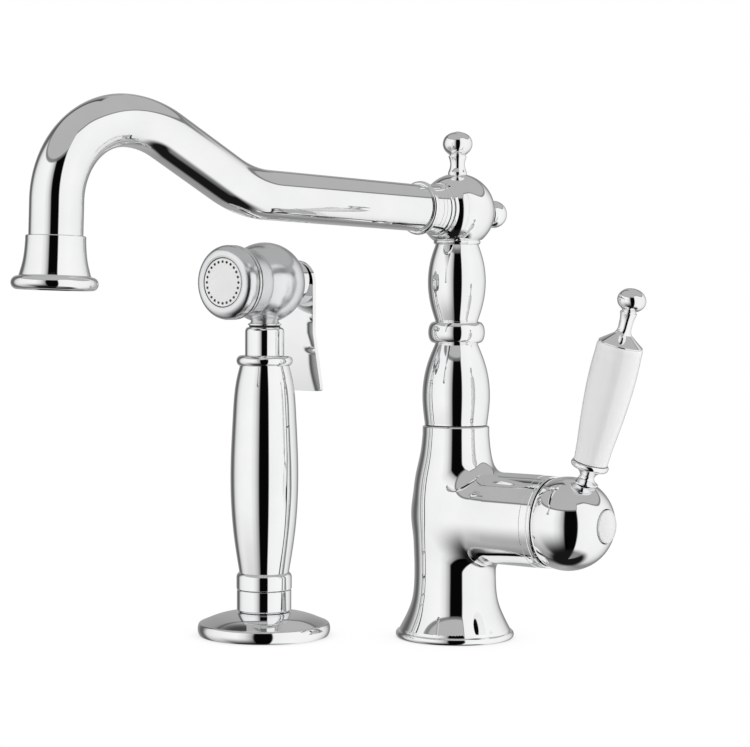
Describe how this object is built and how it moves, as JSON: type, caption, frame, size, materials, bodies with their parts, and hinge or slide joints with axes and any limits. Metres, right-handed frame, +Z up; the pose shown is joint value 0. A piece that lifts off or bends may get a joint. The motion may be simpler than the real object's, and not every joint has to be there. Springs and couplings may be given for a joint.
{
  "type": "kitchen mixer tap with pull-out spray",
  "caption": "Chrome kitchen mixer with a swivel spout, a porcelain side lever and a separate pull-out hand spray in its own deck flange.",
  "frame": {"origin": "centre of the mixer's foot on the deck plane, at the mouth of its stud hole", "axes": "+Z up from the deck, +X towards the lever, -Y towards the user"},
  "size_m": [0.2063, 0.2789, 0.2423],
  "materials": {
    "chrome": "polished chrome plate",
    "porcelain": null,
    "index_satin": "smooth pale plastic",
    "brass": "machined",
    "steel": "turned stainless",
    "black_rubber": "moulded",
    "grey_plastic": "moulded",
    "white_plastic": "moulded",
    "disc_ceramic": null
  },
  "bodies": {
    "mixer": {"base_ring": "chrome", "base_gasket": "black_rubber", "inlet_block": "brass", "body_foot": "chrome", "mixer_body": "chrome", "side_branch": "chrome", "cartridge_case": "grey_plastic", "port_seals": "black_rubber", "fixed_disc": "disc_ceramic", "cartridge_nut": "brass", "bonnet": "chrome", "rotor_clip": "steel", "swivel_nipple": "brass", "swivel_seals": "black_rubber", "swivel_washer": "black_rubber", "diverter_spring": "steel", "spray_flange": "chrome", "holder_bush": "grey_plastic"},
    "spout": {"column": "chrome", "column_grub_screw": "steel", "hub": "chrome", "top_finial": "chrome", "rear_finial": "chrome", "spout_seal": "black_rubber", "spout_ferrule": "chrome", "spout_tube": "chrome", "outlet_bell": "chrome", "aerator_washer": "black_rubber", "aerator_case": "grey_plastic", "aerator_screen": "grey_plastic"},
    "rotor": {"cartridge_rotor": "grey_plastic", "pivot_pin": "steel"},
    "lever": {"lever_spindle": "steel", "handle_dome": "chrome", "dome_screw": "steel", "index_cap": "index_satin", "lever_collar": "chrome", "lever_rod": "steel", "grip_washers": "black_rubber", "porcelain_grip": "porcelain", "lever_cap": "chrome"},
    "disc": {"moving_disc": "disc_ceramic", "disc_carrier": "grey_plastic"},
    "diverter": {"diverter_spool": "grey_plastic"},
    "hose_end": {"hose_nut": "chrome", "spigot_seal": "black_rubber", "spigot_clip": "steel"},
    "handset": {"spray_handle": "chrome", "check_valve": "grey_plastic", "spray_neck": "chrome", "spray_head": "chrome", "bead_ring": "chrome", "bezel": "chrome", "spray_plate": "white_plastic", "rear_boss": "chrome", "trigger_pin": "steel", "plunger_spring": "steel"},
    "trigger": {"trigger_paddle": "chrome"},
    "plunger": {"valve_plunger": "brass", "plunger_seal": "black_rubber"}
  },
  "joints": [
    {"name": "spout_swivel", "type": "hinge", "parent": "mixer", "child": "spout", "pos_m": [0, 0, 0.1], "axis": [0, 0, 1], "range_deg": [-110, 110]},
    {"name": "lever_temperature", "type": "hinge", "parent": "mixer", "child": "rotor", "pos_m": [0.0625, 0, 0.0578], "axis": [1, 0, 0], "range_deg": [-45, 45]},
    {"name": "lever_flow", "type": "hinge", "parent": "rotor", "child": "lever", "pos_m": [0.0625, 0, 0.0578], "axis": [0, 1, 0], "range_deg": [0, 20]},
    {"name": "disc_slide", "type": "slide", "parent": "rotor", "child": "disc", "axis": [0, 0, 1], "range_m": [0, 0.0034]},
    {"name": "diverter_lift", "type": "slide", "parent": "mixer", "child": "diverter", "axis": [0, 0, 1], "range_m": [0, 0.004], "stiffness_N_per_m": 200, "springref_m": -0.004, "deforming": ["diverter_spring"]},
    {"name": "spray_lift", "type": "slide", "parent": "mixer", "child": "hose_end", "axis": [0, 0, 1], "range_m": [0, 0.25]},
    {"name": "spray_turn", "type": "hinge", "parent": "hose_end", "child": "handset", "pos_m": [-0.074, -0.052, 0.03], "axis": [0, 0, 1], "continuous": true},
    {"name": "trigger_press", "type": "hinge", "parent": "handset", "child": "trigger", "pos_m": [-0.074, -0.0322, 0.1733], "axis": [-1, 0, 0], "range_deg": [0, 10], "stiffness_Nm_per_rad": 0.3, "springref_deg": -9.74},
    {"name": "plunger_slide", "type": "slide", "parent": "handset", "child": "plunger", "axis": [0, -1, 0], "range_m": [0, 0.0016], "deforming": ["plunger_spring"]}
  ],
  "couplings": [
    {"joint": "disc_slide", "follows": "lever_flow", "m_per_rad": 0.0097},
    {"joint": "plunger_slide", "follows": "trigger_press", "m_per_rad": 0.009}
  ]
}
